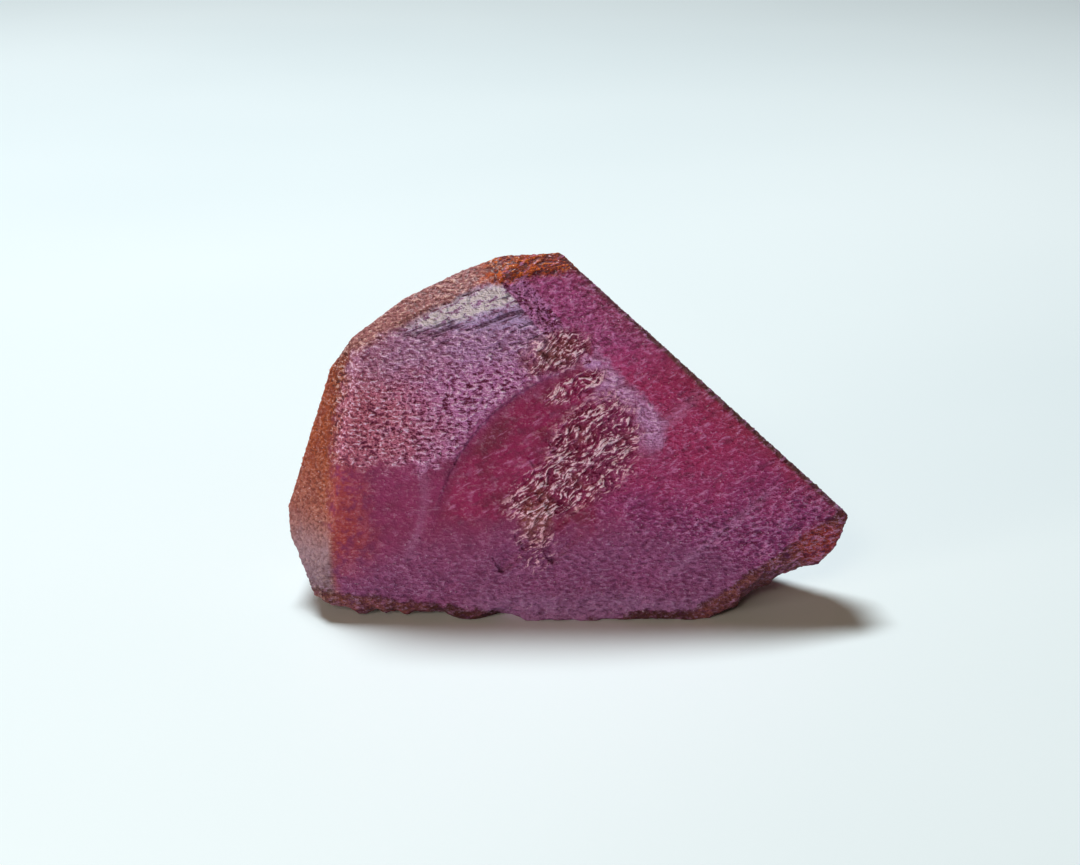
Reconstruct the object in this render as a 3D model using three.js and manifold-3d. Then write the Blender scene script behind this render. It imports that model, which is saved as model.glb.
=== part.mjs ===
// Raw ruby crystal: one thick tabular fragment of a corundum crystal, standing on its broken underside.
// Millimetres, +Z up, front face towards -Y, origin at the bottom centre of the crystal's box.
//
// Face frame: u runs right along the front face, v runs up it, and depth runs into the crystal.
// The front face leans back, so v and depth are turned from Z and Y by FRONT_LEAN.

import * as THREE from 'three';
import Module from 'manifold-3d';
import { mergeVertices } from 'three/addons/utils/BufferGeometryUtils.js';
import { ImprovedNoise } from 'three/addons/math/ImprovedNoise.js';

const wasm = await Module();
wasm.setup();

// ---------------------------------------------------------------- driving dimensions (mm, degrees)

const FRONT_LEAN = 12; // front face leans back from upright
const BACK_LEAN = 5; // back face leans back less, so the crystal thins towards the top
const BASE_DEPTH = 7.6; // thickness at the foot, measured level
const BLOCK = 60; // edge of the cutting blocks, longer than any stretch of the crystal

// Side facets, clockwise from the lower left. A facet holds the line from-to, whose ends are
// [u, v, depth], and is splayed from the face normal: above 0 it shows from the front.
const SIDE_FACETS = [
  { name: 'lower left bevel', from: [-11.0, 1.0, 0], to: [-10.5, 3.9, 0], splay: 43 },
  { name: 'lower left side', from: [-11.25, 0.8, 0.2], to: [-12.85, 4.0, 2.4], splay: -8 },
  { name: 'left bevel', from: [-10.6, 4.4, 0], to: [-9.75, 12.3, 0], splay: 39 },
  { name: 'left corner', from: [-12.62, 3.3, 2.2], to: [-12.72, 5.1, 2.4], splay: -7 },
  { name: 'left side', from: [-12.9, 4.2, 2.6], to: [-10.35, 12.15, 0.8], splay: -6 },
  { name: 'corner side', from: [-10.8, 11.1, 0.9], to: [-9.3, 12.86, 1.2], splay: -7 },
  { name: 'shoulder bevel', from: [-9.7, 11.85, 0], to: [-6.2, 14.05, 0], splay: 38 },
  { name: 'shoulder side', from: [-10.2, 12.1, 1.2], to: [-6.5, 14.93, 1.3], splay: -5 },
  { name: 'crown corner', from: [-7.5, 14.22, 1.3], to: [-5.2, 15.36, 1.3], splay: -6 },
  { name: 'crown bevel', from: [-6.1, 14.0, 0.2], to: [-2.9, 15.3, 0.55], splay: 40 },
  { name: 'crown side', from: [-6.5, 14.93, 1.3], to: [-2.65, 16.33, 1.4], splay: -5 },
  { name: 'top bevel', from: [-3.2, 15.5, 0.62], to: [-0.1, 15.8, 0.95], splay: 46 },
  { name: 'top side', from: [-2.7, 16.27, 1.4], to: [-0.25, 16.34, 1.6], splay: -8 },
  { name: 'long side', from: [-0.27, 16.32, 1.0], to: [12.5, 4.79, 0.3], splay: -3.5 },
  { name: 'tip side', from: [12.52, 4.85, 0.3], to: [12.02, 3.6, 0.3], splay: -6 },
];

// Two low facets near the top of the front face. They meet in a short ridge that runs up and left.
const CROWN = {
  line: 12.5, // height up the face where the left facet begins
  tilt: 11, // backward tilt of the left facet
  ridgeFoot: [-0.9, 12.4],
  ridgeHead: [-2.85, 15.14],
  fall: 5.5, // further tilt of the facet on the right of the ridge
};

// A thin flake is gone from the middle of the face. Its edge is an arc, and its floor rises back to
// the face on the other side.
const FLAKE = { centre: [2.7, 2.9], radius: 8.8, step: 0.15, tilt: 2.6, arcAt: 124, height: 4, sides: 96 };

// Stepped growth ridges in the middle of the front face.
const RIDGES = {
  count: 15,
  foot: [-1.6, 3.0],
  head: [0.1, 12.3],
  angle: 37, // run of each ridge above the level
  angleSwing: 22,
  tilt: 9,
  tiltSwing: 0.6, // share of the tilt that varies
  roll: 3,
  width: 0.9,
  thickness: 1,
  reach: 2.2, // half length of the longest ridge
  endReach: 0.3, // share of the reach at the ends of the row, and what its middle adds
  middleReach: 0.5,
  reachSwing: 0.9,
  bite: 0.09,
  bulge: 1.4, // how far the row of ridges bows to the right at half height
  stray: 2.4,
};

// Broken underside: the lowest line of the front as [x, z], and the chipped rim that slopes forward.
const BREAK_LINE = [
  [-14, 1.0], [-11.1, 0.6], [-8.8, 0.2], [-6.2, 0.15], [-5.0, -0.1], [-3.9, -0.15], [-3.1, 0.1],
  [-1.6, -0.3], [4.6, -0.3], [6.0, -0.05], [7.3, 0.1], [8.2, 0.5], [9.2, 1.15], [10.1, 1.9],
  [11.2, 2.3], [12.0, 2.95], [12.3, 3.5], [12.8, 4.2], [15, 5.9],
];
const RIM = { slope: 1.1, width: 0.5, waver: 0.25, wideAt: 8.6, wideReach: 2.2, wideExtra: 0.9 };
// Large broken waves and a finer grain, with their frequencies across and in depth.
const WAVES = { height: 0.34, across: 0.55, deep: 0.6, layer: 2.2 };
const GRAIN = { height: 0.13, across: 1.9, deep: 2.1, layer: 5.6 };
const BREAK_BOX = { left: -14, right: 15, front: -2, back: 12, floor: -6 };
const BREAK_STEP = [0.42, 0.6]; // size of the broken facets, across and in depth
// The middle of the break hangs below the ground cut, so that the crystal has a flat foot.
const FOOT = { centre: [-1.2, 4.2], half: [6.8, 3.4], sink: 0.75 };

// Shell-shaped breaks and flat cleavages on the back. Centres are [x, z] on the back face.
const BACK_SHELLS = [
  { centre: [-8.4, 11.6], radius: 26, bite: 1.15 },
  { centre: [6.6, 1.6], radius: 21, bite: 1.3 },
  { centre: [1.4, 15.5], radius: 15, bite: 0.9 },
];
const SHELL_SIDES = [72, 48];
const SHELL_TURN = 23; // keeps the poles of the shell's mesh off the crystal
const BACK_FACETS = [
  { name: 'back shoulder', point: [-9.4, 7.9, 9.5], normal: [-0.72, 0.62, 0.35] },
  { name: 'back crown', point: [1.4, 8.3, 13.4], normal: [0.36, 0.7, 0.62] },
  { name: 'back foot', point: [-4.0, 7.7, 1.2], normal: [-0.18, 0.8, -0.57] },
  { name: 'back tip', point: [10.2, 4.35, 5.5], normal: [0.49, 0.87, 0.1] },
];

const MERGE = 1e-5; // vertices closer than this are one
const COLOUR = '#7b2f57';
const ROUGHNESS = 0.42;

// ---------------------------------------------------------------- face frame

const radians = THREE.MathUtils.degToRad;
const lerp = THREE.MathUtils.lerp;
const lean = radians(FRONT_LEAN);
const backLean = radians(BACK_LEAN);
const RIGHT = new THREE.Vector3(1, 0, 0);
const DOWN = new THREE.Vector3(0, 0, -1);
const UP_FACE = new THREE.Vector3(0, Math.sin(lean), Math.cos(lean));
const OUT_FACE = new THREE.Vector3(0, -Math.cos(lean), Math.sin(lean));
const OUT_BACK = new THREE.Vector3(0, Math.cos(backLean), -Math.sin(backLean));
const FACE_FRAME = new THREE.Matrix4().makeBasis(RIGHT, UP_FACE, OUT_FACE);
const ORIGIN = new THREE.Vector3();

function facePoint([u, v, depth = 0]) {
  return new THREE.Vector3(u, v, -depth).applyMatrix4(FACE_FRAME);
}

// One value of smooth noise for each lane and place along it.
const noise = new ImprovedNoise();
const WANDER = { pace: 1.37, laneGap: 2.37, laneStart: 0.41, drift: 0.21 };

function wander(lane, at) {
  return noise.noise(at * WANDER.pace + lane, lane * WANDER.laneGap + WANDER.laneStart, at * WANDER.drift);
}

// ---------------------------------------------------------------- solids

function toSolid(geometry) {
  const bare = geometry.clone();
  bare.deleteAttribute('normal');
  bare.deleteAttribute('uv');
  const merged = mergeVertices(bare, MERGE);
  return new wasm.Manifold(new wasm.Mesh({
    numProp: 3,
    vertProperties: new Float32Array(merged.attributes.position.array),
    triVerts: new Uint32Array(merged.index.array),
  }));
}

function toGeometry(solid) {
  const mesh = solid.getMesh();
  const geometry = new THREE.BufferGeometry();
  const corners = new Float32Array(mesh.vertProperties);
  geometry.setAttribute('position', new THREE.BufferAttribute(corners, 3));
  geometry.setIndex(new THREE.BufferAttribute(new Uint32Array(mesh.triVerts), 1));
  return geometry;
}

// Everything on the outer side of a plane, as one large block.
function beyond(point, normal) {
  const outward = normal.clone().normalize();
  const block = new THREE.BoxGeometry(BLOCK, BLOCK, BLOCK);
  block.translate(0, 0, BLOCK / 2);
  block.applyQuaternion(new THREE.Quaternion().setFromUnitVectors(DOWN.clone().negate(), outward));
  block.translate(point.x, point.y, point.z);
  return toSolid(block);
}

function stock() {
  const block = toSolid(new THREE.BoxGeometry(BLOCK, BLOCK, BLOCK));
  const front = beyond(ORIGIN, OUT_FACE);
  const back = beyond(new THREE.Vector3(0, BASE_DEPTH, 0), OUT_BACK);
  return block.subtract(front).subtract(back);
}

function sideFacet({ from, to, splay }) {
  const start = facePoint(from);
  const along = facePoint(to).sub(start).normalize();
  const outward = new THREE.Vector3().crossVectors(OUT_FACE, along).normalize();
  return beyond(start, outward.applyAxisAngle(along, radians(splay)));
}

// ---------------------------------------------------------------- front face

function crownFacets() {
  const base = facePoint([0, CROWN.line]);
  const left = OUT_FACE.clone().applyAxisAngle(RIGHT, -radians(CROWN.tilt));
  // The right facet turns about the ridge, which lies in the left facet.
  const foot = facePoint(CROWN.ridgeFoot);
  const head = facePoint(CROWN.ridgeHead);
  const lift = head.clone().sub(base).dot(left) / OUT_FACE.dot(left);
  head.addScaledVector(OUT_FACE, -lift);
  const ridge = head.sub(foot).normalize();
  const right = left.clone().applyAxisAngle(ridge, radians(CROWN.fall));
  return [beyond(base, left), beyond(foot, right)];
}

function flake() {
  const disc = new THREE.CylinderGeometry(FLAKE.radius, FLAKE.radius, FLAKE.height, FLAKE.sides);
  disc.rotateX(Math.PI / 2);
  disc.translate(0, 0, FLAKE.height / 2);
  const arcAt = radians(FLAKE.arcAt);
  const hinge = new THREE.Vector3(-Math.sin(arcAt), Math.cos(arcAt), 0);
  disc.applyQuaternion(new THREE.Quaternion().setFromAxisAngle(hinge, radians(FLAKE.tilt)));
  const rise = FLAKE.radius * Math.tan(radians(FLAKE.tilt));
  disc.translate(FLAKE.centre[0], FLAKE.centre[1], rise - FLAKE.step);
  disc.applyMatrix4(FACE_FRAME);
  return toSolid(disc);
}

// A thin slab laid into the face at a low angle, so that it leaves one step and one slope.
function growthRidge(index) {
  const t = index / (RIDGES.count - 1);
  const middle = Math.sin(Math.PI * t);
  const turn = wander(1, index);
  const stretch = wander(2, index);
  const share = RIDGES.endReach + RIDGES.middleReach * middle;
  const half = RIDGES.reach * share * (1 + RIDGES.reachSwing * stretch);
  const slab = new THREE.BoxGeometry(2 * half, RIDGES.width, RIDGES.thickness);
  slab.translate(0, 0, RIDGES.thickness / 2);
  slab.rotateX(radians(RIDGES.tilt * (1 + RIDGES.tiltSwing * turn)));
  slab.rotateY(radians(RIDGES.roll * stretch));
  slab.rotateZ(radians(RIDGES.angle + RIDGES.angleSwing * turn));
  const u = lerp(RIDGES.foot[0], RIDGES.head[0], t) + RIDGES.bulge * middle + RIDGES.stray * wander(3, index);
  const v = lerp(RIDGES.foot[1], RIDGES.head[1], t);
  slab.translate(u, v, -RIDGES.bite);
  slab.applyMatrix4(FACE_FRAME);
  return toSolid(slab);
}

// ---------------------------------------------------------------- broken underside

function breakHeight(x) {
  const next = BREAK_LINE.findIndex(([place]) => place >= x);
  const [x0, z0] = BREAK_LINE[Math.max(next - 1, 0)];
  const [x1, z1] = BREAK_LINE[Math.max(next, 1)];
  return THREE.MathUtils.mapLinear(x, x0, x1, z0, z1);
}

function undersideHeight(x, y) {
  const line = breakHeight(x);
  const wide = Math.max(0, 1 - Math.abs(x - RIM.wideAt) / RIM.wideReach);
  const rim = RIM.width + RIM.wideExtra * wide + RIM.waver * wander(4, x);
  const behindFront = Math.max(0, y - Math.tan(lean) * line);
  const chip = RIM.slope * Math.max(0, rim - behindFront);
  const waves = WAVES.height * noise.noise(x * WAVES.across, y * WAVES.deep, WAVES.layer);
  const grain = GRAIN.height * noise.noise(x * GRAIN.across, y * GRAIN.deep, GRAIN.layer);
  const across = (x - FOOT.centre[0]) / FOOT.half[0];
  const deep = (y - FOOT.centre[1]) / FOOT.half[1];
  const foot = FOOT.sink * Math.max(0, 1 - across ** 4 - deep ** 4);
  return line + chip + waves + grain - foot;
}

function underside() {
  const { left, right, front, back, floor } = BREAK_BOX;
  const columns = Math.round((right - left) / BREAK_STEP[0]);
  const rows = Math.round((back - front) / BREAK_STEP[1]);
  const block = new THREE.BoxGeometry(right - left, back - front, 2, columns, rows, 1);
  block.translate((left + right) / 2, (front + back) / 2, 0);
  const place = block.attributes.position;
  for (let i = 0; i < place.count; i += 1) {
    const onTop = place.getZ(i) > 0;
    place.setZ(i, onTop ? undersideHeight(place.getX(i), place.getY(i)) : floor);
  }
  return toSolid(block);
}

// ---------------------------------------------------------------- back

function backShell({ centre: [x, z], radius, bite }) {
  const onBack = new THREE.Vector3(x, BASE_DEPTH + z * Math.tan(backLean), z);
  const middle = onBack.addScaledVector(OUT_BACK, radius - bite);
  const ball = new THREE.SphereGeometry(radius, ...SHELL_SIDES);
  ball.rotateX(radians(SHELL_TURN));
  ball.translate(middle.x, middle.y, middle.z);
  return toSolid(ball);
}

function backFacet({ point, normal }) {
  return beyond(new THREE.Vector3(...point), new THREE.Vector3(...normal));
}

// ---------------------------------------------------------------- crystal

function rubyCrystal() {
  const cuts = [
    ...SIDE_FACETS.map(sideFacet),
    ...crownFacets(),
    flake(),
    ...Array.from({ length: RIDGES.count }, (_, index) => growthRidge(index)),
    ...BACK_FACETS.map(backFacet),
    ...BACK_SHELLS.map(backShell),
    underside(),
    beyond(ORIGIN, DOWN),
  ];
  const solid = cuts.reduce((rest, cut) => rest.subtract(cut), stock());
  const geometry = toGeometry(solid);
  geometry.computeBoundingBox();
  const { min, max } = geometry.boundingBox;
  geometry.translate(-(min.x + max.x) / 2, -(min.y + max.y) / 2, -min.z);
  return geometry;
}

const ruby = new THREE.MeshStandardMaterial({ color: COLOUR, roughness: ROUGHNESS, metalness: 0 });
const crystal = new THREE.Mesh(rubyCrystal(), ruby);
crystal.name = 'ruby_crystal';

const group = new THREE.Group();
group.add(crystal);

export default group;
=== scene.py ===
"""Raw ruby crystal: the weathered, pitted and broken surface of one tabular ruby fragment.

The crystal's zones are planned in face coordinates: u runs right along the broad front face, v runs up
it and w stands out of it, in millimetres, from the middle of the face's lower edge.
"""

import math

import bpy
from mathutils import Euler, Matrix, Vector


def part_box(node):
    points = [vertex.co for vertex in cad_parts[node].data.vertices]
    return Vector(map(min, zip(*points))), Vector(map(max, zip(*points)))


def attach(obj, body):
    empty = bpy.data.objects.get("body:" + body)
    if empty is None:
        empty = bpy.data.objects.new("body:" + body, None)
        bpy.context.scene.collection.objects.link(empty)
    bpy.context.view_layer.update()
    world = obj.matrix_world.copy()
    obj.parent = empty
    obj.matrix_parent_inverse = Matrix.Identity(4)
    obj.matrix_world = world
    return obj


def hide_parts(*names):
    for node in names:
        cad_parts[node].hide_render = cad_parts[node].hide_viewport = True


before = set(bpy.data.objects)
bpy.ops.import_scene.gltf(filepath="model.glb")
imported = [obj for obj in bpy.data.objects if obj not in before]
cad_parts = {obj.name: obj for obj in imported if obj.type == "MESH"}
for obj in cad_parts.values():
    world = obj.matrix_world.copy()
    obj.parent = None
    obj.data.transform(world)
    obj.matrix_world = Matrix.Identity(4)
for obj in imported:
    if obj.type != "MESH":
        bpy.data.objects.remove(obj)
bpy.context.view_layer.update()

NODE = "ruby_crystal"
MM = 0.001
low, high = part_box(NODE)
size = high - low

# ------------------------------------------------------------------ the front face (mm)

FACE_LEAN = math.radians(12)  # the front face leans back
FACE_SHIFT = 0.074  # the face's middle stands this far right of the crystal's middle
FACE_ORIGIN = Vector(((low.x + high.x) / 2 / MM + FACE_SHIFT, low.y / MM, low.z / MM))

SKIN_STEP = 0.068  # edge of the fine mesh's faces
SKIN_FACES = 196000  # triangles of the finished crystal

# Lines on the face, from a start to an end. What lies left of a line is in front of it.
SHOULDER_LINE = ((-9.7, 11.85), (-2.9, 15.3))
LONG_EDGE_LINE = ((-0.27, 16.32), (12.5, 4.79))
RIDGE_LINE = ((-1.0, 12.8), (-2.95, 15.1))
LILAC_LINE = ((-8.0, 11.0), (-1.0, 12.0))
HAZE_LINE = ((1.2, 12.2), (4.45, 9.05))
RIGHT_FIELD_LINE = ((12.0, 2.6), (0.6, 6.0))

# The left edge: its u at the height where it stands out furthest, and how fast it bends away.
LEFT_EDGE = -10.6
LEFT_EDGE_HEIGHT = 4.4
LEFT_EDGE_BEND = 0.018

# Where a zone starts and where it is full, along u, v or w, or as a distance sideways from a middle.
FORE_DEPTH = (-2.6, -1.7)
TOP_HEIGHT = (15.35, 15.75)
TOP_START = (-4.4, -3.2)
CROWN_HEIGHT = (11.8, 12.8)
RIGHT_FIELD_START = (0.2, 1.2)
RIGHT_FIELD_TOP = (10.5, 12.5)
HAZE_HEIGHT = (6.6, 8.6)
GLOW_HEIGHT = (1.6, 4.0)
GLOW_FADE = (6.0, 8.0)
RUST_HEIGHT = (4.2, 8.0)
FOOT_FACET_HEIGHT = (5.0, 2.8)
LOW_BAND_HEIGHT = (5.6, 2.4)
PALE_FOOT_HEIGHT = (1.7, 0.6)
PALE_FOOT_MIDDLE = 1.0
PALE_FOOT_REACH = (7.0, 3.5)

# The pebbled field's lower edge: its height at one place, and its slope.
PEBBLE_FOOT = 6.95
PEBBLE_FOOT_START = -8
PEBBLE_FOOT_SLOPE = 0.1

# The window ends at this u, and fades out towards this height.
WINDOW_RIGHT = 1.6
WINDOW_FOOT = 2.9

# The broken underside's upper line is level in the middle and rises at both ends.
BREAK_LEFT, BREAK_LEFT_SLOPE = -7.2, 0.16
BREAK_RIGHT, BREAK_RIGHT_SLOPE, BREAK_HIGHEST = 6.9, 0.6, 3.4

# The stained rim's upper line: a low step at each side of the middle, then a slope.
RIM_LEFT_STEP, RIM_LEFT_RISE = (-2.4, -3.6), 0.43
RIM_LEFT, RIM_LEFT_SLOPE = -3.5, 0.13
RIM_RIGHT_STEP, RIM_RIGHT_RISE = (1.6, 3.2), 0.45
RIM_RIGHT, RIM_RIGHT_SLOPE = 5.6, 0.7

# Two dark stretches of the rim: the middle, and how far they reach sideways.
DARK_RIM_LEFT, DARK_RIM_LEFT_REACH = -4.6, (1.8, 1.2)
DARK_RIM_RIGHT, DARK_RIM_RIGHT_REACH = 3.7, (2.3, 1.6)

# Convex outlines, corners clockwise.
# The sheen outline bounds a painted highlight on the crown, left of the ridge.
SHEEN_OUTLINE = ((-7.5, 12.9), (-6.3, 14.15), (-4.8, 15.0), (-2.9, 15.3), (-1.0, 13.1), (-3.4, 12.8))
# The second outline bounds a pale band of painted sheen beside the core, where the ridge runs on down.
HAZE_OUTLINE = ((1.2, 12.2), (4.45, 9.05), (4.0, 7.2), (2.9, 6.6), (1.0, 9.5), (0.6, 11.6))

# The arc that bounds the wine-red window.
ARC_MIDDLE = (2.7, 2.9)
ARC_RADIUS = 8.8

# Ovals of torn steps: middle, half length and half width, and the rise of the long way in degrees.
UPPER_CORE = ((-0.55, 12.1), (1.6, 0.95), 20)
BRIDGE_CORE = ((0.35, 10.55), (1.5, 0.55), 25)
MAIN_CORE = ((1.15, 7.8), (2.6, 2.0), 58)
SKIRT_CORE = ((-0.1, 6.2), (3.0, 1.3), 24)
HEEL_CORE = ((-1.45, 3.6), (1.0, 1.35), 0)
GOLD_COLUMN = ((-1.4, 4.8), (0.75, 1.5), 0)

# Straight veins: start, end, the rise in degrees of their run, half width, and how far they wander.
VEIN = {"start": (5.0, 2.5), "end": (9.2, 6.05), "rise": 40, "reach": 0.32, "wander": 0.06}
BRANCH = {"start": (4.2, 8.8), "end": (6.2, 10.6), "rise": 42, "reach": 0.5, "wander": 0.2}
# The curled vein at the left: its middle, its lean and bend, half width, and its two ends.
CURL_MIDDLE = (-6.35, 5.6)
CURL_LEAN = 0.06
CURL_BEND = 0.09
CURL_REACH = 0.4
CURL_FOOT = (2.2, 3.2)
CURL_TOP = (7.0, 6.4)

TIP_MIDDLE = (11.5, 3.5)

# Directions of the marks on the face, in degrees above level.
SCORE_RISE = 19
LINE_RISE = 28
STEP_RISE = 40

# Depths and heights of the relief.
RELIEF = {
    "Swell": 0.16,
    "Pebble depth": 0.3,
    "Wrinkle depth": 0.2,
    "Groove depth": 0.08,
    "Ridge height": 0.6,
    "Break depth": 0.28,
    "Side line depth": 0.08,
    "Edge chip depth": 0.12,
}
LEVEL_FOOT = 0.16  # the relief fades out this far above the foot
NORMAL_BLUR = 7  # rounds of blurring that find the edges

# ------------------------------------------------------------------ tints

TINTS = {
    # the stone; the low band's greyer lavender is partly a painted reflection of the floor, and the lilac and
    # the pale band beside the core are painted sheen
    "dark stone": "#741a44",
    "stone": "#8c2458",
    # low band: greyer lavender, partly the stone's own and partly a painted reflection of the floor
    "low band": "#8e4274",
    "low band shade": "#7c3e6a",
    "pale foot": "#9a6a98",
    "right field, low": "#8e2c68",
    "right field, high": "#a41e54",
    "right field, top": "#bc4484",
    "right of the ridge": "#b0508c",
    "etched back": "#a85c86",
    "window": "#8e084a",
    "window shade": "#6a042e",
    "pebbles, left": "#ca6c84",
    "pebbles, right": "#c676b0",
    "pebbles, pale": "#d896bc",
    # painted paler sheen below the crown's bright sheen
    "lilac": "#b086b0",
    # painted sheen on the pale band beside the core
    "haze_sheen": "#c484b6",
    "vein": "#c490bc",
    "dark mottle": "#54103a",
    "pale mottle": "#c078a8",
    # iron stains and outer skin, with a painted red glow and a painted dark band along the crystal's longest
    # edge
    "gold stain": "#84502a",
    "brown stain": "#8a4a34",
    "back stain": "#8a4330",
    # painted red glow near the left edge
    "glow": "#a0342c",
    "rust, low": "#a65a4a",
    "rust, high": "#a0441e",
    "rust shade": "#7a2c28",
    "foot facet, low": "#7c6470",
    "foot facet, high": "#94747c",
    "shoulder": "#9a5c58",
    "top shade": "#641c04",
    "top": "#b84404",
    "long stain": "#8a2030",
    "long side": "#6a3034",
    # painted shade: the dark band along the crystal's longest edge
    "long edge shade": "#543a2c",
    "rim shade": "#54261c",
    "rim": "#86483a",
    "rim line": "#3a1612",
    "rim, dark": "#38160f",
    "tip": "#a23224",
    # grain: painted shade in valleys, clefts and pits, painted highlights and glints on crests, and the
    # painted sheen
    # painted shade in the grain's valleys
    "stone valley shade": "#68163c",
    "skin valley shade": "#5c2a28",
    # painted highlights on the grain's crests
    "pebble crest highlight": "#f6c4de",
    "field crest highlight": "#d084b8",
    "skin crest highlight": "#d09c90",
    "top crest highlight": "#cc641c",
    "pale line": "#cc7cac",
    "dark line": "#5a0c34",
    # painted shade in the wrinkles' pits, painted highlights on their crests
    "wrinkle pit shade": "#481640",
    "wrinkle crest highlight": "#bc90b8",
    "glint": "#ffe4ee",
    # painted highlight: the crown's sheen, lilac low and white high
    "sheen, low": "#c49cca",
    "sheen, high": "#ffeeff",
    "score": "#48203e",
    # painted shade in the clefts of the torn steps, painted highlights on the steps and their crests
    "step cleft shade": "#640e3e",
    "step": "#c07294",
    "step crest highlight": "#ffc8d4",
    # stage
    "floor shade": "#e4f2f7",
    "floor": "#edf9fd",
}
# The ruby's finish.
RUBY_ROUGHNESS = 0.48
LEAST_ROUGHNESS = 0.16
RUBY_IOR = 1.38
COAT_WEIGHT = 0.06
COAT_ROUGHNESS = 0.15
BUMP_STRENGTH = 0.9
BUMP_HEIGHT = 0.0002  # m
LIFT = (1.1, 1.24, 1.38)  # brings the tints to their strength under the warm front light
BRIGHTEST = (0.93, 0.84, 0.98)

# ------------------------------------------------------------------ node trees as expressions


class Value:
    """One socket of a node tree. Python's operators add Math nodes behind it."""

    def __init__(self, graph, socket):
        self.graph = graph
        self.socket = socket

    def _math(self, operation, *others):
        made = self.graph.node("ShaderNodeMath", {"operation": operation}, dict(enumerate((self, *others))))
        return Value(self.graph, made.outputs[0])

    def __add__(self, other):
        return self._math("ADD", other)

    __radd__ = __add__

    def __sub__(self, other):
        return self._math("SUBTRACT", other)

    def __rsub__(self, other):
        return self._math("MULTIPLY_ADD", -1.0, other)

    def __mul__(self, other):
        return self._math("MULTIPLY", other)

    __rmul__ = __mul__

    def __truediv__(self, other):
        return self._math("DIVIDE", other)

    def __pow__(self, other):
        return self._math("POWER", other)

    def __neg__(self):
        return self._math("MULTIPLY", -1.0)

    def __abs__(self):
        return self._math("ABSOLUTE")

    def root(self):
        return self._math("SQRT")

    def least(self, other):
        return self._math("MINIMUM", other)

    def most(self, other):
        return self._math("MAXIMUM", other)


class Graph:
    """A shader or Geometry Nodes tree that is built from Python expressions."""

    def __init__(self, tree):
        self.tree = tree

    def node(self, kind, settings=None, inputs=None):
        """Adds a node: its settings first, then the values or links of its sockets."""
        made = self.tree.nodes.new(kind)
        for name, setting in (settings or {}).items():
            setattr(made, name, setting)
        for key, value in (inputs or {}).items():
            if isinstance(value, Value):
                self.tree.links.new(value.socket, made.inputs[key])
            else:
                made.inputs[key].default_value = value
        return made

    def out(self, kind, settings=None, inputs=None, output=0):
        return Value(self, self.node(kind, settings, inputs).outputs[output])

    def vector_math(self, operation, *operands, output=0):
        return self.out("ShaderNodeVectorMath", {"operation": operation}, dict(enumerate(operands)), output)

    def dot(self, vector, other):
        return self.vector_math("DOT_PRODUCT", vector, other, output="Value")

    def split(self, vector):
        parts = self.node("ShaderNodeSeparateXYZ", inputs={0: vector})
        return [Value(self, socket) for socket in parts.outputs]

    def joined(self, x, y, z):
        return self.out("ShaderNodeCombineXYZ", inputs={0: x, 1: y, 2: z})

    def ease(self, value, start, end):
        """0 before start and 1 after end, smooth between them. End may be the lower one."""
        return self.out(
            "ShaderNodeMapRange", {"interpolation_type": "SMOOTHSTEP"},
            {"Value": value, "From Min": start, "From Max": end},
        )

    def noise(self, vector, scale, detail=2.0, roughness=0.5, seed=0.0):
        """Smooth noise around 0, about -0.5 to 0.5."""
        shifted = self.vector_math("ADD", vector, (seed * 7.31, seed * 3.17, seed * 5.53))
        return self.out(
            "ShaderNodeTexNoise", {"noise_dimensions": "3D"},
            {"Vector": shifted, "Scale": scale, "Detail": detail, "Roughness": roughness},
        ) - 0.5

    def chips(self, vector, scale):
        """Cone-shaped bumps that meet in sharp valleys, 0.5 at the tops."""
        cells = self.out("ShaderNodeTexVoronoi", {"feature": "F1"}, {"Vector": vector, "Scale": scale})
        return 0.5 - cells

    def mix(self, factor, first, second):
        """A colour between two colours."""
        return self.out(
            "ShaderNodeMix", {"data_type": "RGBA", "clamp_factor": True}, {0: factor, 6: first, 7: second}, 2,
        )


def turned(u, v, degrees):
    """Coordinates along and across a direction that rises by so many degrees to the right."""
    angle = math.radians(degrees)
    along = u * math.cos(angle) + v * math.sin(angle)
    across = v * math.cos(angle) - u * math.sin(angle)
    return along, across


def length_of(x, y):
    return (x * x + y * y).root()


def oval(u, v, centre, reach, degrees):
    """0 at the middle of an oval and 1 on its outline. The long way rises by so many degrees."""
    along, across = turned(u - centre[0], v - centre[1], degrees)
    return length_of(along / reach[0], across / reach[1])


def off_line(u, v, start, end):
    """Distance in front of a line on the face, on its left when looking from start to end."""
    run = Vector(end) - Vector(start)
    run.normalize()
    return (v - start[1]) * run.x - (u - start[0]) * run.y


def inside(u, v, corners):
    """Depth inside a convex outline whose corners run clockwise: above 0 inside, below 0 outside."""
    sides = [-off_line(u, v, start, end) for start, end in zip(corners, corners[1:] + corners[:1])]
    depth = sides[0]
    for side in sides[1:]:
        depth = depth.least(side)
    return depth


# ------------------------------------------------------------------ the zones of the crystal


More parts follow.
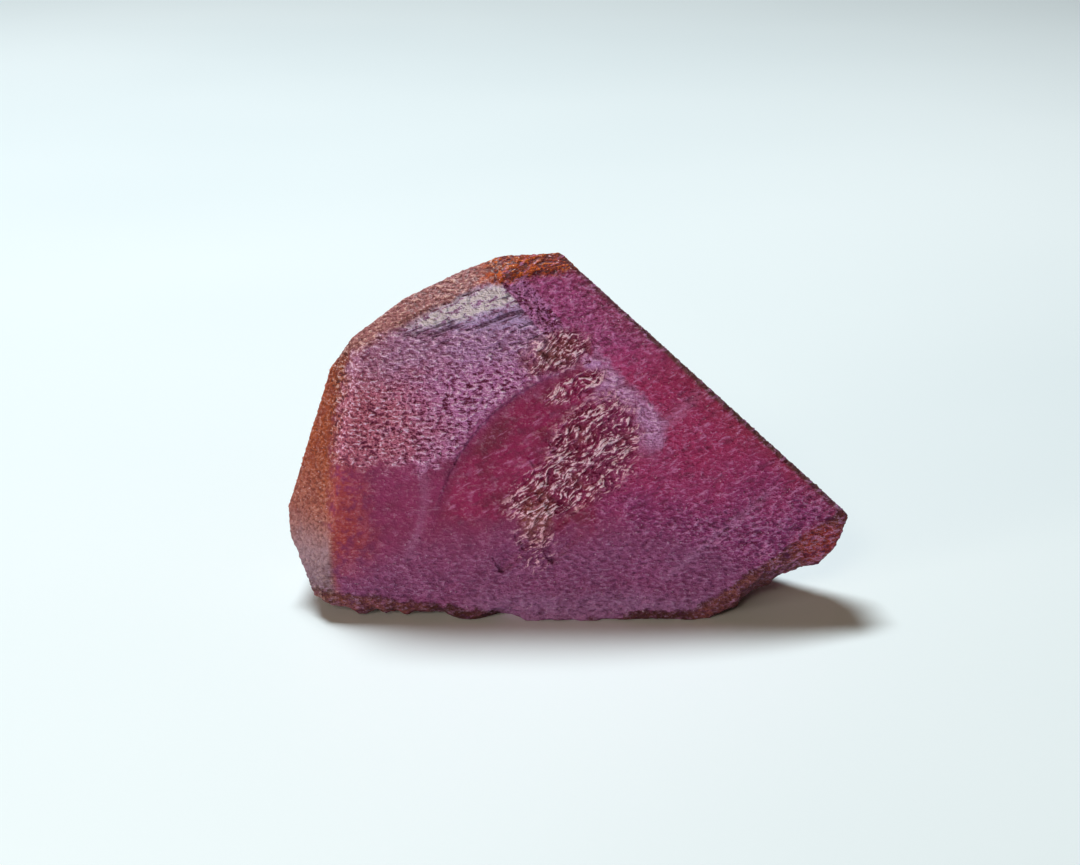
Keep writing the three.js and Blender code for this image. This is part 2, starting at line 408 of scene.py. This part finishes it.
class Zones:
    """Masks from 0 to 1 for the crystal's differently grown, worn and stained places."""

    def __init__(self, graph, face):
        self.graph = graph
        self.u, self.v, self.w = graph.split(face)
        self.slow = graph.noise(face, 0.45, 2.0, seed=1)
        self.quick = graph.noise(face, 1.9, 3.0, 0.6, seed=2)
        self.stray = self.slow * 1.6 + self.quick * 0.7
        self.fore = graph.ease(self.w, *FORE_DEPTH)  # the front part of the crystal's thickness
        self.plan_skin()
        self.plan_crown()
        self.plan_window()
        self.plan_core()
        self.plan_fields()
        self.plan_rim()
        self.plan_veins()

    def plan_skin(self):
        """The bevels around the front face, and the sides behind them."""
        ease, u, v, quick, stray = self.graph.ease, self.u, self.v, self.quick, self.stray
        rise = v - LEFT_EDGE_HEIGHT
        left_out = (LEFT_EDGE - u) + LEFT_EDGE_BEND * rise * rise
        self.left_skin = ease(left_out + quick * 1.2, -0.5, 0.4)
        # Painted glow: a red-orange glow near the thin left edge.
        glow_rise = ease(v + stray, *GLOW_HEIGHT)
        self.left_glow = ease(left_out + stray * 1.3 + quick * 1.6, -2.3, -0.2) * glow_rise * self.fore
        self.foot_facet = ease(left_out, -0.2, 0.2) * ease(v + stray * 0.5, *FOOT_FACET_HEIGHT)
        self.shoulder_skin = ease(off_line(u, v, *SHOULDER_LINE) + quick * 0.5, -0.15, 0.35)
        self.top_skin = ease(v + quick * 0.9 - 0.16 * u, *TOP_HEIGHT) * ease(u + quick, *TOP_START)
        long_out = off_line(u, v, *LONG_EDGE_LINE)
        self.long_side = ease(long_out + quick * 0.25, -0.26, -0.06)
        # Painted shade: a dark band along the longest edge, where its side face is in shade.
        self.shaded_long_edge = self.long_side * ease(self.w, -1.4, -0.5)
        self.long_stain = ease(long_out + stray * 0.8, -1.3, -0.1)

    def plan_crown(self):
        """The top of the face, which a short ridge parts into a left with a painted highlight and a red
        right.
        """
        ease, u, v, quick = self.graph.ease, self.u, self.v, self.quick
        self.ridge = off_line(u, v, *RIDGE_LINE) + quick * 0.12
        crown = ease(v + self.slow, *CROWN_HEIGHT) * self.fore
        crown_left = ease(self.ridge, -0.05, 0.05) * crown * (1 - self.shoulder_skin)
        self.crown_left = crown_left * (1 - self.top_skin)
        self.crown_right = ease(self.ridge, 0.1, -0.1) * crown
        # Painted highlight: the sheen on the crown, left of the ridge.
        self.sheen = ease(inside(u, v, SHEEN_OUTLINE) + quick * 0.8, -0.15, 0.6) * self.crown_left
        # Painted paler sheen: lilac below the bright sheen, ending at the same ridge.
        self.lilac = ease(off_line(u, v, *LILAC_LINE) + self.stray, -0.8, 0.8)
        self.lilac = self.lilac * ease(self.ridge, -0.06, 0.06) * self.fore

    def plan_window(self):
        """The smooth wine-red flake below and right of the arc."""
        ease, u, v, stray = self.graph.ease, self.u, self.v, self.stray
        self.arc_in = ARC_RADIUS - length_of(u - ARC_MIDDLE[0], v - ARC_MIDDLE[1])
        foot_in = v * 0.7 + stray * 1.2 - WINDOW_FOOT
        window_in = (self.arc_in * 0.8).least(foot_in).least(WINDOW_RIGHT - u + stray)
        self.window = ease(window_in, -0.05, 0.5) * (ease(self.arc_in, -0.04, 0.06) * self.fore)

    def plan_core(self):
        """Clusters of torn steps up the middle of the face."""
        ease, u, v = self.graph.ease, self.u, self.v
        ragged = self.stray * 0.22 + self.quick * 0.5
        upper = oval(u, v, *UPPER_CORE)
        cluster = upper
        for outline in (BRIDGE_CORE, MAIN_CORE, SKIRT_CORE):
            cluster = cluster.least(oval(u, v, *outline))
        self.core = ease(cluster + ragged, 1.12, 0.75) * self.fore
        self.heel = ease(oval(u, v, *HEEL_CORE) + ragged, 1.15, 0.6) * self.fore
        self.gold = ease(oval(u, v, *GOLD_COLUMN).least(upper) + ragged, 1.3, 0.5) * self.fore

    def plan_fields(self):
        """The pebbled field, the hazy band of painted sheen beside the core, the right field and the low
        band.
        """
        ease, u, v = self.graph.ease, self.u, self.v
        slow, quick, stray = self.slow, self.quick, self.stray
        foot_in = v + quick * 1.6 + slow * 1.6 - PEBBLE_FOOT_SLOPE * (u - PEBBLE_FOOT_START) - PEBBLE_FOOT
        left_in = u - LEFT_EDGE + quick
        arc_out = -0.9 * self.arc_in + quick * 0.4
        pebble_in = (self.ridge * 3 + 3.0).least(foot_in).least(left_in).least(arc_out)
        off_core = 1 - self.core
        self.pebble = ease(pebble_in, -0.15, 0.45) * off_core * (1 - self.top_skin) * self.fore
        self.etched = ease(slow + quick * 0.5, 0.0, 0.25) * (1 - self.fore)

        # Painted sheen: a pale lavender band beside the core; its pebbles and roughness are real.
        haze_fade = ease(off_line(u, v, *HAZE_LINE), -2.6, -0.9) * ease(v + stray, *HAZE_HEIGHT)
        self.haze_sheen = ease(inside(u, v, HAZE_OUTLINE) + quick * 1.1, -0.2, 0.35)
        self.haze_sheen = self.haze_sheen * haze_fade * off_core * self.fore

        self.right = ease(off_line(u, v, *RIGHT_FIELD_LINE) - 0.9 + stray * 1.2, 0.9, -0.9)
        self.right = self.right * ease(u + stray * 0.4, *RIGHT_FIELD_START).most(self.crown_right)
        self.right = self.right * off_core * (1 - self.haze_sheen) * self.fore
        self.crown_right = self.crown_right * off_core

        # The low band, full at the foot and fading upwards: its greyer lavender is partly a painted
        # reflection of the floor; its wrinkles and pits are real relief.
        self.low = ease(v + stray * 1.1 - 0.16 * u, *LOW_BAND_HEIGHT)
        self.pale_foot = ease(v + stray * 0.6, *PALE_FOOT_HEIGHT)
        self.pale_foot = self.pale_foot * ease(abs(u - PALE_FOOT_MIDDLE) + stray, *PALE_FOOT_REACH)

    def plan_rim(self):
        """The stained lower rim of the face, the height over the break, and the red tip."""
        ease, u, v = self.graph.ease, self.u, self.v
        break_line = (BREAK_RIGHT_SLOPE * (u - BREAK_RIGHT)).most(0.0).least(BREAK_HIGHEST)
        break_line = break_line + (-BREAK_LEFT_SLOPE * (u - BREAK_LEFT)).most(0.0)
        self.break_height = v - break_line
        rim_top = RIM_LEFT_RISE * ease(u, *RIM_LEFT_STEP) + RIM_LEFT_SLOPE * (RIM_LEFT - u).most(0.0)
        rim_top = rim_top + RIM_RIGHT_RISE * ease(u, *RIM_RIGHT_STEP)
        rim_top = rim_top + (RIM_RIGHT_SLOPE * (u - RIM_RIGHT)).most(0.0)
        over_rim = v + self.quick * 0.8 - rim_top
        self.rim = ease(over_rim, 0.1, -0.1)
        self.rim_line = ease(abs(over_rim), 0.12, 0.0) * self.fore
        dark_right = ease(abs(u - DARK_RIM_RIGHT), *DARK_RIM_RIGHT_REACH)
        self.rim_dark = ease(abs(u - DARK_RIM_LEFT), *DARK_RIM_LEFT_REACH).most(dark_right)
        tip_reach = length_of(u - TIP_MIDDLE[0], (v - TIP_MIDDLE[1]) * 1.4)
        self.tip = ease(tip_reach + self.stray * 0.5, 1.7, 0.6)

    def straight_vein(self, start, end, rise, reach, wander):
        """Strength of a straight vein and the distance along it from its start."""
        u, v = self.u, self.v
        beside = abs(off_line(u, v, start, end) + self.quick * wander)
        along = turned(u - start[0], v - start[1], rise)[0]
        return self.graph.ease(beside, reach, 0.0), along

    def plan_veins(self):
        """Pale seams inside the stone: two straight ones and a curled one at the left."""
        ease, u, v = self.graph.ease, self.u, self.v
        vein, along = self.straight_vein(**VEIN)
        vein = vein * ease(along, -1.6, -0.2) * ease(along, 5.6, 5.0)
        branch, along = self.straight_vein(**BRANCH)
        branch = branch * ease(along, -0.4, 0.3) * ease(along, 2.8, 1.6)
        rise = v - CURL_MIDDLE[1]
        curl = abs(u - CURL_MIDDLE[0] - CURL_LEAN * rise + CURL_BEND * rise ** 2 + self.quick * 0.1)
        curl = ease(curl, CURL_REACH, 0.0) * ease(v, *CURL_FOOT) * ease(v, *CURL_TOP) * 0.6
        self.vein = vein.most(branch).most(curl) * self.fore


# ------------------------------------------------------------------ grain, shared by shape and finish


def worm_grain(zones):
    """Small rounded bumps and the winding valleys between them, about -0.5 to 0.5."""
    drawn = zones.graph.joined(zones.u * 0.68, zones.v * 1.25, zones.w)
    return zones.graph.noise(drawn, 5.6, 2.0, 0.7, seed=4)


def crown_scores(zones):
    """Long thin scores, 1 in the score."""
    graph = zones.graph
    along, across = turned(zones.u, zones.v, SCORE_RISE)
    lines = graph.noise(graph.joined(along * 0.4, across * 3.0, 0.0), 1.0, 3.0, 0.6, seed=6)
    return graph.ease(lines, 0.06, 0.14)


def fine_lines(zones):
    """Short fine strokes, about -0.5 to 0.5."""
    graph = zones.graph
    along, across = turned(zones.u, zones.v, LINE_RISE)
    return graph.noise(graph.joined(along * 1.5, across * 4.8, 0.0), 1.0, 3.0, 0.66, seed=7)


def core_steps(zones):
    """Torn steps, about -0.3 in the clefts to 0.3 on the crests."""
    graph = zones.graph
    along, across = turned(zones.u, zones.v, STEP_RISE)
    bent = across + graph.noise(graph.joined(along * 0.8, across * 0.9, 0.0), 1.0, 2.0, seed=8)
    broad = graph.noise(graph.joined(along * 1.1, bent * 4.6, 0.0), 1.0, 3.0, 0.6, seed=9)
    slivers = graph.noise(graph.joined(along * 3.2, bent * 11.0, 0.0), 1.0, 2.0, 0.6, seed=10)
    return broad * 0.55 + slivers * 0.8


def level_wrinkles(zones):
    """Short level wrinkles of the low band, above 0 in a pit and below 0 on a crest."""
    graph = zones.graph
    dashes = graph.noise(graph.joined(zones.u * 3.4, zones.v * 7.4, zones.w), 1.0, 3.0, 0.68, seed=11)
    return dashes * (zones.low * 0.9 + zones.right * 0.3 + 0.1) * (1 - zones.core)


# ------------------------------------------------------------------ fine shape


def face_coordinates(graph, stood):
    """Face coordinates, from a place that is already turned so that the face stands upright."""
    right, back, up = graph.split(stood)
    return graph.joined(right, up, -back)


def relief_tree():
    """Geometry Nodes for the crystal's relief, on a mesh in millimetres."""
    tree = bpy.data.node_groups.new("crystal relief", "GeometryNodeTree")
    sockets = tree.interface
    sockets.new_socket("Geometry", in_out="INPUT", socket_type="NodeSocketGeometry")
    for name, value in RELIEF.items():
        sockets.new_socket(name, in_out="INPUT", socket_type="NodeSocketFloat").default_value = value
    sockets.new_socket("Material", in_out="INPUT", socket_type="NodeSocketMaterial")
    sockets.new_socket("Geometry", in_out="OUTPUT", socket_type="NodeSocketGeometry")

    graph = Graph(tree)
    group = graph.node("NodeGroupInput")
    given = {name: Value(graph, group.outputs[name]) for name in ("Geometry", *RELIEF, "Material")}
    ease, noise = graph.ease, graph.noise

    position = graph.out("GeometryNodeInputPosition")
    normal = graph.out("GeometryNodeInputNormal")
    centred = graph.vector_math("SUBTRACT", position, FACE_ORIGIN)
    stood = graph.out(
        "ShaderNodeVectorRotate", {"rotation_type": "X_AXIS"}, {"Vector": centred, "Angle": FACE_LEAN}
    )
    face = face_coordinates(graph, stood)
    zones = Zones(graph, face)
    facing = graph.dot(normal, (0.0, -math.cos(FACE_LEAN), math.sin(FACE_LEAN)))
    front = ease(facing, 0.8, 0.93)
    underside = ease(-graph.dot(normal, (0.0, 0.0, 1.0)), 0.25, 0.55)
    broken = underside.most(ease(zones.break_height, 0.75, 0.3) * ease(facing, 0.97, 0.88))
    sides = (1 - front) * (1 - broken)
    level_foot = ease(graph.split(position)[2], LEVEL_FOOT, 0.02)

    # Front face: a slow swell, pebbles, fine grooves and scores, torn steps and level wrinkles.
    swell = noise(face, 0.28, 2.0, seed=3) * given["Swell"]
    pebbly = zones.pebble * (1 - zones.sheen * 0.5) + zones.core * 0.5 + zones.haze_sheen * 0.4
    pebbly = pebbly * front + zones.etched * 0.5
    pebbles = worm_grain(zones) * given["Pebble depth"] * (pebbly + sides * 0.6 + 0.15)
    grooves = fine_lines(zones) * (zones.right + zones.window * 0.5 + 0.2)
    grooves = (grooves - crown_scores(zones) * zones.crown_left) * given["Groove depth"] * front
    stepped = (zones.core + zones.heel * 0.6).least(1.0)
    ridges = core_steps(zones) * stepped * given["Ridge height"] * front
    wrinkles = -1 * level_wrinkles(zones) * given["Wrinkle depth"] * front

    # Break: chips of two sizes at odd angles, with a rough grain between them.
    shift = graph.joined(noise(position, 0.9, 2.0, seed=11), 0.0, 0.0)
    chip_space = graph.vector_math("ADD", position, shift)
    large_chips = graph.chips(chip_space, 1.15)
    small_chips = graph.chips(chip_space, 3.3)
    tooth = noise(position, 2.6, 4.0, 0.65, seed=12)
    break_relief = (large_chips * 0.6 + small_chips * 0.35 + tooth * 0.6) * given["Break depth"] * broken

    # Sides and back: growth lines that run level round the crystal.
    around = graph.joined(zones.u * 0.12, zones.v * 0.12, zones.w * 2.6)
    side_relief = noise(around, 1.0, 3.0, 0.6, seed=13) * given["Side line depth"] * sides

    # Edges: small chips where two faces meet.
    blurred = graph.out(
        "GeometryNodeBlurAttribute",
        {"data_type": "FLOAT_VECTOR"},
        {"Value": normal, "Iterations": NORMAL_BLUR},
    )
    edge = ease(1 - graph.dot(graph.vector_math("NORMALIZE", blurred), normal), 0.004, 0.05)
    bites = ease(noise(face, 1.7, 3.0, 0.6, seed=14), -0.1, 0.28)
    edge_relief = -1 * edge * (0.1 + bites) * given["Edge chip depth"] * (1 - broken * 0.5)

    height = swell + pebbles + grooves + ridges + wrinkles + break_relief + side_relief + edge_relief
    height = height * (1 - level_foot)
    outward = graph.out("ShaderNodeVectorMath", {"operation": "SCALE"}, {0: normal, "Scale": height})
    shaped = graph.out("GeometryNodeSetPosition", inputs={"Geometry": given["Geometry"], "Offset": outward})

    # Nothing sinks below the level foot.
    x, y, z = graph.split(graph.out("GeometryNodeInputPosition"))
    lifted = graph.joined(x, y, z.most(0.0))
    stood_up = graph.out("GeometryNodeSetPosition", inputs={"Geometry": shaped, "Position": lifted})

    realized = graph.out("GeometryNodeRealizeInstances", inputs={0: stood_up})
    finished = graph.out(
        "GeometryNodeSetMaterial", inputs={"Geometry": realized, "Material": given["Material"]}
    )
    graph.node("NodeGroupOutput", inputs={0: finished})
    return tree


def evaluated_mesh(holder):
    depsgraph = bpy.context.evaluated_depsgraph_get()
    return bpy.data.meshes.new_from_object(holder.evaluated_get(depsgraph))


def link(made):
    bpy.context.scene.collection.objects.link(made)


def fine_crystal(material):
    """The crystal's own skin: the solid's faces as a fine closed mesh, with all of its relief."""
    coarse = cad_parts[NODE].data.copy()
    coarse.transform(Matrix.Scale(1 / MM, 4))
    holder = bpy.data.objects.new("crystal_work", coarse)
    link(holder)

    weld = holder.modifiers.new("weld", "WELD")
    weld.merge_threshold = 0.001
    remesh = holder.modifiers.new("fine faces", "REMESH")
    remesh.mode = "VOXEL"
    remesh.voxel_size = SKIN_STEP
    remesh.use_smooth_shade = True
    relief = holder.modifiers.new("relief", "NODES")
    relief.node_group = relief_tree()
    sockets = {item.name: item.identifier for item in relief.node_group.interface.items_tree}
    relief[sockets["Material"]] = material

    full = evaluated_mesh(holder)
    holder.modifiers.clear()
    holder.data = full
    thin = holder.modifiers.new("thin", "DECIMATE")
    thin.use_collapse_triangulate = True
    thin.ratio = min(1.0, SKIN_FACES / (2 * len(full.polygons)))
    finished = evaluated_mesh(holder)
    bpy.data.objects.remove(holder)

    finished.name = "ruby_skin"
    finished.transform(Matrix.Scale(MM, 4))
    finished.shade_smooth()
    skin = bpy.data.objects.new("ruby_skin", finished)
    link(skin)
    return skin


# ------------------------------------------------------------------ materials


def tint(name):
    """One of the tints as linear values."""
    code = TINTS[name]
    parts = [int(code[place:place + 2], 16) / 255 for place in (1, 3, 5)]
    linear = [part / 12.92 if part <= 0.04045 else ((part + 0.055) / 1.055) ** 2.4 for part in parts]
    return (*linear, 1.0)


def new_material(name):
    material = bpy.data.materials.new(name)
    material.use_nodes = True
    material.node_tree.nodes.clear()
    return material, Graph(material.node_tree)


def painted(graph, colour, layers):
    """Lays colours over a first one, in turn, each by its own amount."""
    for amount, layer in layers:
        colour = graph.mix(amount, colour, layer)
    return colour


class Grain:
    """Fine grain on the zones, shared by the finish's colour, roughness and bump."""

    def __init__(self, graph, zones, face):
        self.worms = worm_grain(zones)
        self.fine = graph.noise(face, 9.0, 3.0, 0.65, seed=23)
        self.lines = fine_lines(zones)
        self.scores = crown_scores(zones)
        self.wrinkles = level_wrinkles(zones)
        self.rough = self.worms + self.fine * 0.35
        self.torn = core_steps(zones) + self.fine * 0.3 + self.worms * 0.25 + zones.quick * 0.3
        self.cluster = zones.core.most(zones.heel * 0.7)
        self.skin = zones.left_skin.most(zones.top_skin).most(zones.shoulder_skin)

        patchy = graph.ease(zones.quick, -0.1, 0.15)
        on_skin = 0.36 + 0.1 * zones.left_skin - 0.22 * zones.foot_facet - 0.16 * zones.shoulder_skin
        on_skin = self.skin * (on_skin + 0.3 * zones.top_skin + 0.3 * zones.rim)
        amount = zones.pebble * 0.85 + zones.haze_sheen * 0.45 + zones.right * (0.1 + 0.2 * patchy) + on_skin
        amount = amount + zones.crown_right * 0.35 + zones.etched * 0.5
        self.amount = amount + zones.sheen * 0.3 + 0.12 + 0.2 * zones.low + 0.12 * patchy


def stone_colour(graph, zones, face):
    """Colour of the stone, zone by zone. The low band's greyer lavender is partly a painted reflection of the
    floor; the lilac and the pale band beside the core are painted sheen.
    """
    ease, mix, u, v = graph.ease, graph.mix, zones.u, zones.v
    cloud = graph.noise(face, 0.6, 4.0, 0.62, seed=20)
    stone = mix(ease(cloud, -0.2, 0.22), tint("dark stone"), tint("stone"))
    low_band = mix(ease(cloud, -0.15, 0.15), tint("low band"), tint("low band shade"))
    upward = ease(v + zones.stray * 3 + cloud * 4, 3.5, 9.0)
    right = mix(upward, tint("right field, low"), tint("right field, high"))
    right = mix(ease(v, *RIGHT_FIELD_TOP) * 0.7, right, tint("right field, top"))
    window = mix(ease(cloud, -0.16, 0.16), tint("window"), tint("window shade"))
    rightward = ease(u + zones.stray * 3, -8.5, -4.0)
    pebbles = mix(rightward, tint("pebbles, left"), tint("pebbles, right"))
    pebbles = mix(ease(zones.quick, -0.05, 0.25) * 0.6, pebbles, tint("pebbles, pale"))
    return painted(graph, stone, (
        (zones.low * 0.85, low_band),
        (zones.pale_foot * 0.6, tint("pale foot")),
        (zones.right * 0.85, right),
        (zones.crown_right * 0.5, tint("right of the ridge")),
        (zones.etched * 0.6, tint("etched back")),
        (zones.window * 0.95, window),
        (zones.pebble * 0.85, pebbles),
        (zones.lilac * 0.6, tint("lilac")),
        (zones.haze_sheen * 0.85, tint("haze_sheen")),
        (zones.vein * 0.22, tint("vein")),
    ))


def stained(graph, zones, face, colour):
    """Iron stains: gold in the core, rust on the bevels, brown on the broken rim. Also a painted red glow
    near the left edge, and painted shade along the crystal's longest edge.
    """
    ease, mix, v, quick = graph.ease, graph.mix, zones.v, zones.quick
    stain = graph.noise(face, 0.9, 3.0, 0.62, seed=22)
    glow = ease(quick + worm_grain(zones) * 0.5, -0.25, 0.1) * (0.95 - 0.5 * ease(v, *GLOW_FADE))
    plain = (1 - zones.pebble) * (1 - zones.core)
    rust = mix(ease(v + zones.slow * 4.0, *RUST_HEIGHT), tint("rust, low"), tint("rust, high"))
    rust = mix(ease(quick, 0.1, -0.15) * 0.6, rust, tint("rust shade"))
    foot_facet = mix(ease(v, 1.4, 3.4), tint("foot facet, low"), tint("foot facet, high"))
    patches = ease(quick, -0.15, 0.15)
    backs = (1 - zones.fore) * (1 - zones.rim)
    return painted(graph, colour, (
        (zones.gold * ease(stain, -0.2, 0.05) * 0.6, tint("gold stain")),
        (ease(stain, 0.0, 0.18) * zones.core * 0.35, tint("brown stain")),
        (zones.left_glow * glow, tint("glow")),
        (ease(quick, 0.0, -0.2) * plain * 0.3, tint("dark mottle")),
        (ease(quick, 0.03, 0.2) * plain * 0.2, tint("pale mottle")),
        (zones.left_skin, rust),
        (zones.foot_facet * 0.9, foot_facet),
        (zones.shoulder_skin * 0.95, tint("shoulder")),
        (zones.top_skin, mix(patches, tint("top shade"), tint("top"))),
        (zones.long_stain * 0.45, tint("long stain")),
        (zones.long_side * 0.6, tint("long side")),
        # Painted shade along the longest edge.
        (zones.shaded_long_edge * 0.8, tint("long edge shade")),
        (zones.rim * 0.9, mix(patches, tint("rim shade"), tint("rim"))),
        (zones.rim_line * 0.6, tint("rim line")),
        (zones.rim * zones.rim_dark * 0.8, tint("rim, dark")),
        (zones.tip * 0.8, tint("tip")),
        (ease(stain, 0.0, 0.2) * backs * 0.7, tint("back stain")),
    ))


def grained(graph, zones, grain, colour):
    """Fine grain with painted light: shade in the valleys, clefts and pits, highlights and glints on the
    crests, and the crown's sheen.
    """
    ease, mix, u, v = graph.ease, graph.mix, zones.u, zones.v
    valley = mix(grain.skin.most(zones.rim), tint("stone valley shade"), tint("skin valley shade"))
    valley_shade_amount = grain.amount * (0.95 - 0.65 * zones.sheen.most(zones.lilac * 0.5))
    crest = mix(zones.right.most(zones.low), tint("pebble crest highlight"), tint("field crest highlight"))
    crest = mix(grain.skin, crest, mix(zones.top_skin, tint("skin crest highlight"), tint("top crest highlight")))
    crest_highlight_amount = grain.amount * (0.5 + 0.4 * zones.pebble.most(zones.right).most(zones.haze_sheen))
    streaky = zones.right + zones.window * 0.8 + zones.low * 0.4
    glints = ease(grain.fine, 0.14, 0.22) * (grain.amount + zones.core * 0.4) * 0.8
    # Painted highlight: the sheen, lilac lower down and white at its top.
    sheen = mix(ease(v - 0.3 * u + zones.quick, 14.6, 15.4), tint("sheen, low"), tint("sheen, high"))
    sheen_amount = zones.sheen * ease(grain.lines * 1.3 + grain.rough * 0.9, -0.24, 0.05)
    return painted(graph, colour, (
        # Painted shade in the valleys and painted highlights on the crests.
        (ease(grain.rough, 0.0, -0.12) * valley_shade_amount, valley),
        (ease(grain.rough, 0.02, 0.16) * crest_highlight_amount, crest),
        (ease(grain.lines, 0.05, 0.2) * streaky * 0.6, tint("pale line")),
        (ease(grain.lines, -0.03, -0.18) * streaky * 0.62, tint("dark line")),
        # Painted shade in the wrinkles' pits, painted highlights on their crests.
        (ease(grain.wrinkles, 0.03, 0.15) * 0.65, tint("wrinkle pit shade")),
        (ease(grain.wrinkles, -0.04, -0.16) * 0.35, tint("wrinkle crest highlight")),
        (glints, tint("glint")),
        (sheen_amount, sheen),
        (grain.scores * zones.crown_left * 0.75, tint("score")),
        # Painted shade in the clefts of the torn steps, painted highlights on the steps and their crests.
        (ease(grain.torn, 0.0, -0.13) * grain.cluster * 0.42, tint("step cleft shade")),
        (ease(grain.torn, -0.04, 0.08) * grain.cluster * 0.55, tint("step")),
        (ease(grain.torn, 0.05, 0.11) * grain.cluster * 0.95, tint("step crest highlight")),
    ))


def ruby_material():
    material, graph = new_material("ruby")
    turn = Euler((FACE_LEAN, 0.0, 0.0)).to_matrix()
    stood = graph.out(
        "ShaderNodeMapping",
        {"vector_type": "POINT"},
        {
            "Vector": graph.out("ShaderNodeTexCoord", output="Object"),
            "Location": -(turn @ FACE_ORIGIN),
            "Rotation": (FACE_LEAN, 0.0, 0.0),
            "Scale": (1 / MM, 1 / MM, 1 / MM),
        },
    )
    face = face_coordinates(graph, stood)
    zones = Zones(graph, face)
    grain = Grain(graph, zones, face)

    colour = stone_colour(graph, zones, face)
    colour = stained(graph, zones, face, colour)
    colour = grained(graph, zones, grain, colour)
    colour = graph.vector_math("MULTIPLY", colour, LIFT)
    colour = graph.vector_math("MINIMUM", colour, BRIGHTEST)

    rough = RUBY_ROUGHNESS - 0.05 * zones.window + 0.05 * zones.haze_sheen
    rough = rough + 0.25 * grain.skin.most(zones.rim) - 0.1 * zones.sheen
    rough = (rough + grain.fine * 0.2).most(LEAST_ROUGHNESS)

    relief = grain.rough * (grain.amount * 1.2 + 0.1) * (1 - 0.8 * zones.window)
    relief = relief + grain.lines * 0.4 * (zones.right + 0.2)
    relief = relief - grain.scores * 0.4 * zones.crown_left
    relief = relief + grain.torn * 0.8 * grain.cluster + grain.fine * (0.2 + 0.4 * zones.rim)
    relief = relief - grain.wrinkles * 0.3
    bump = graph.out(
        "ShaderNodeBump", inputs={"Strength": BUMP_STRENGTH, "Distance": BUMP_HEIGHT, "Height": relief}
    )
    shader = graph.out(
        "ShaderNodeBsdfPrincipled",
        inputs={
            "Base Color": colour,
            "Roughness": rough,
            "Normal": bump,
            "IOR": RUBY_IOR,
            "Coat Weight": COAT_WEIGHT,
            "Coat Roughness": COAT_ROUGHNESS,
        },
    )
    graph.node("ShaderNodeOutputMaterial", inputs={"Surface": shader})
    return material


def floor_material():
    material, graph = new_material("pale_floor")
    coordinates = graph.out("ShaderNodeTexCoord", output="Object")
    cloud = graph.noise(coordinates, 9.0, 3.0, 0.5, seed=30)
    colour = graph.mix(graph.ease(cloud, -0.3, 0.3), tint("floor shade"), tint("floor"))
    shader = graph.out(
        "ShaderNodeBsdfPrincipled", inputs={"Base Color": colour, "Roughness": 0.42 + cloud * 0.1}
    )
    graph.node("ShaderNodeOutputMaterial", inputs={"Surface": shader})
    return material


# ------------------------------------------------------------------ stage, lights and camera

FLOOR_HALF = 0.6  # m

# Area lights, aimed at the crystal's middle: name, place (m), width and height (m), power (W), colour.
LIGHTS = (
    ("overhead", (-0.075, 0.115, 0.29), (0.15, 0.065), 1.12, (0.95, 0.99, 1.0)),
    ("left_window", (-0.2, -0.18, 0.042), (0.1, 0.08), 0.27, (1.0, 0.84, 0.68)),
    ("front_window", (-0.05, -0.21, 0.125), (0.05, 0.04), 0.095, (1.0, 0.8, 0.6)),
)
ROOM_COLOUR = (1.0, 0.6, 0.32, 1.0)
ROOM_STRENGTH = 0.05

CAMERA_PLACE = Vector((-1.23, -85.4, 40.08))  # mm, from the middle of the face's lower edge
CAMERA_DIP = math.radians(20)  # it looks down by this much, square on to the crystal
CAMERA_LENS = 70.0
CAMERA_SENSOR = 36.0


def add_floor():
    mesh = bpy.data.meshes.new("floor")
    corners = [(-1, -1), (1, -1), (1, 1), (-1, 1)]
    mesh.from_pydata([(x * FLOOR_HALF, y * FLOOR_HALF, 0) for x, y in corners], [], [(0, 1, 2, 3)])
    floor = bpy.data.objects.new("floor", mesh)
    floor.location.z = low.z
    link(floor)
    floor.data.materials.append(floor_material())


def add_lights():
    middle = Vector((0.0, 0.0, size.z / 2))
    for name, place, spread, watts, colour in LIGHTS:
        light = bpy.data.lights.new(name, "AREA")
        light.shape = "ELLIPSE"
        light.size, light.size_y = spread
        light.energy = watts
        light.color = colour
        holder = bpy.data.objects.new(name, light)
        holder.location = place
        holder.rotation_euler = (middle - Vector(place)).to_track_quat("-Z", "Y").to_euler()
        link(holder)


def add_room():
    world = bpy.data.worlds.new("soft_room")
    world.use_nodes = True
    background = world.node_tree.nodes["Background"]
    background.inputs["Color"].default_value = ROOM_COLOUR
    background.inputs["Strength"].default_value = ROOM_STRENGTH
    bpy.context.scene.world = world


def add_camera():
    camera = bpy.data.cameras.new("camera")
    camera.lens = CAMERA_LENS
    camera.sensor_width = CAMERA_SENSOR
    camera.clip_start = 0.001
    camera.clip_end = 10.0
    holder = bpy.data.objects.new("camera", camera)
    holder.location = (FACE_ORIGIN + CAMERA_PLACE) * MM
    holder.rotation_euler = (math.pi / 2 - CAMERA_DIP, 0.0, 0.0)
    link(holder)
    bpy.context.scene.camera = holder


# ------------------------------------------------------------------ making

bpy.context.scene.view_settings.view_transform = "Standard"
crystal = fine_crystal(ruby_material())
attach(crystal, "root")
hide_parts(NODE)
add_floor()
add_lights()
add_room()
add_camera()
